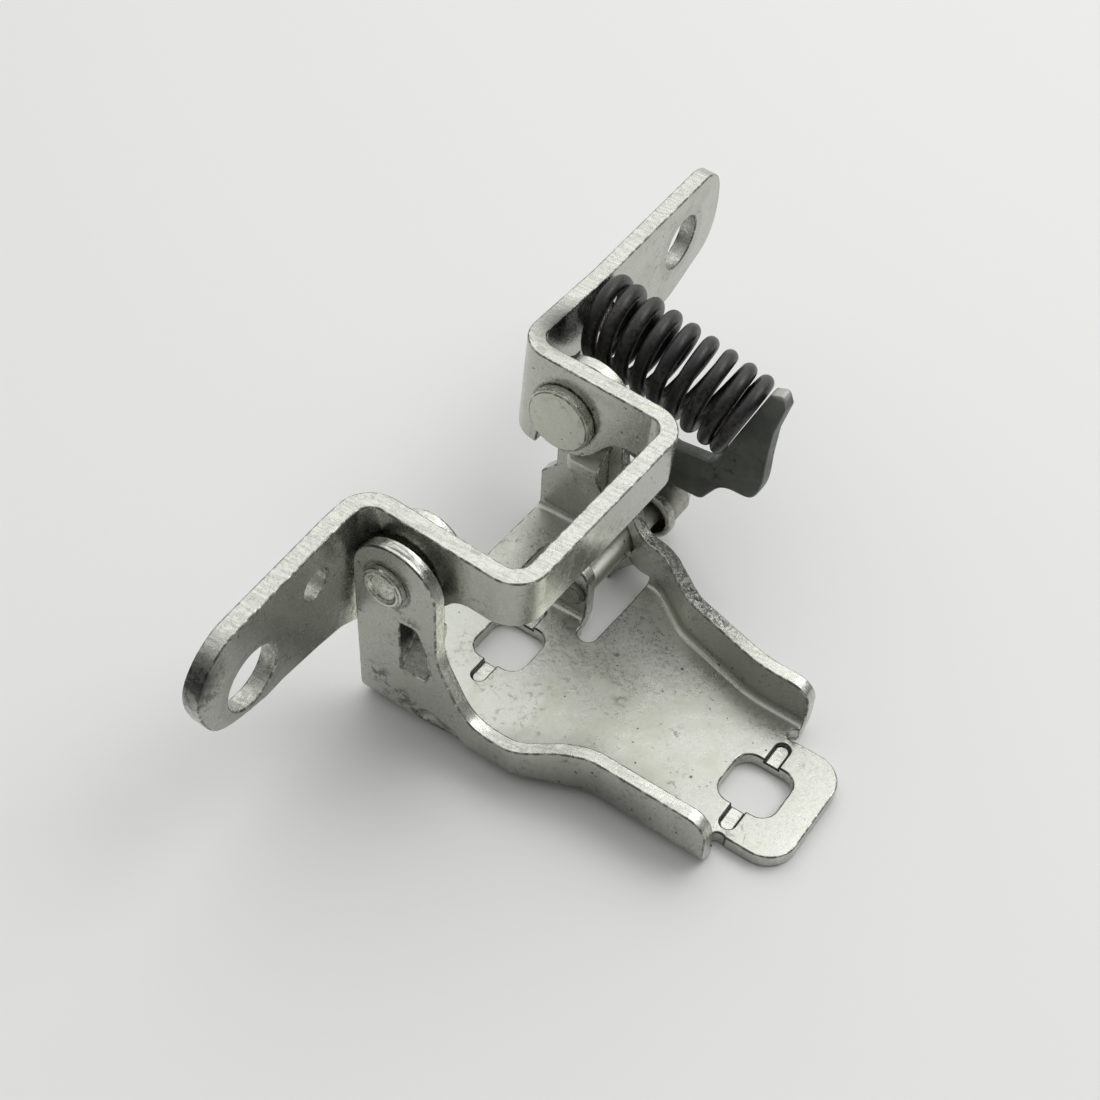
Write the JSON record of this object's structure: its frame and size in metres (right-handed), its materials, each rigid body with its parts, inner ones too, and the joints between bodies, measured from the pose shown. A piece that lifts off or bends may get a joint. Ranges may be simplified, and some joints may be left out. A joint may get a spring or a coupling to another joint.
{
  "type": "vehicle door hinge with check",
  "caption": "Folded steel door hinge: a channel bracket carries a winged strap on two riveted pins, with a spring-loaded check arm riding on a side roller.",
  "frame": {"origin": "on the mounting face under the bracket web, straight below the hinge axis, on the line of the two square holes", "axes": "+X along the bracket to its flat end tab, +Y along the hinge axis, +Z out of the mounting face"},
  "size_m": [0.1344, 0.2356, 0.0705],
  "materials": {
    "zinc_sheet": "bright zinc plate, slightly mottled",
    "zinc_pin": "zinc plated, satin",
    "bush_brass": "dull",
    "arm_steel": "dark grey phosphate",
    "spring_black": "black, satin",
    "roller_steel": "plated, worn"
  },
  "bodies": {
    "bracket": {"base_bracket": "zinc_sheet", "pivot_pin_left": "zinc_pin", "pivot_pin_right": "zinc_pin", "head_spacer_left": "zinc_pin", "washer_left": "zinc_pin", "washer_right": "zinc_pin", "roller_axle": "zinc_pin", "end_washer": "zinc_pin"},
    "strap": {"strap": "zinc_sheet", "bush_left": "bush_brass", "bush_right": "bush_brass"},
    "arm": {"check_arm": "arm_steel", "arm_cross_pin": "arm_steel", "check_spring": "spring_black"},
    "roller": {"check_roller": "roller_steel", "roller_bush": "bush_brass"}
  },
  "joints": [
    {"name": "strap_swing", "type": "hinge", "parent": "bracket", "child": "strap", "pos_m": [0, 0.00865, 0.0507], "axis": [0, 1, 0], "range_deg": [-3.6, 38]},
    {"name": "arm_swing", "type": "hinge", "parent": "strap", "child": "arm", "pos_m": [-0.02173, 0.065, 0.03654], "axis": [0, 1, 0], "range_deg": [-20.5, 2.2], "deforming": ["check_spring"]},
    {"name": "roller_spin", "type": "hinge", "parent": "bracket", "child": "roller", "pos_m": [0.02, 0.061, 0.0123], "axis": [0, 1, 0], "continuous": true}
  ],
  "couplings": [
    {"joint": "arm_swing", "follows": "strap_swing", "ratio": -0.52}
  ]
}
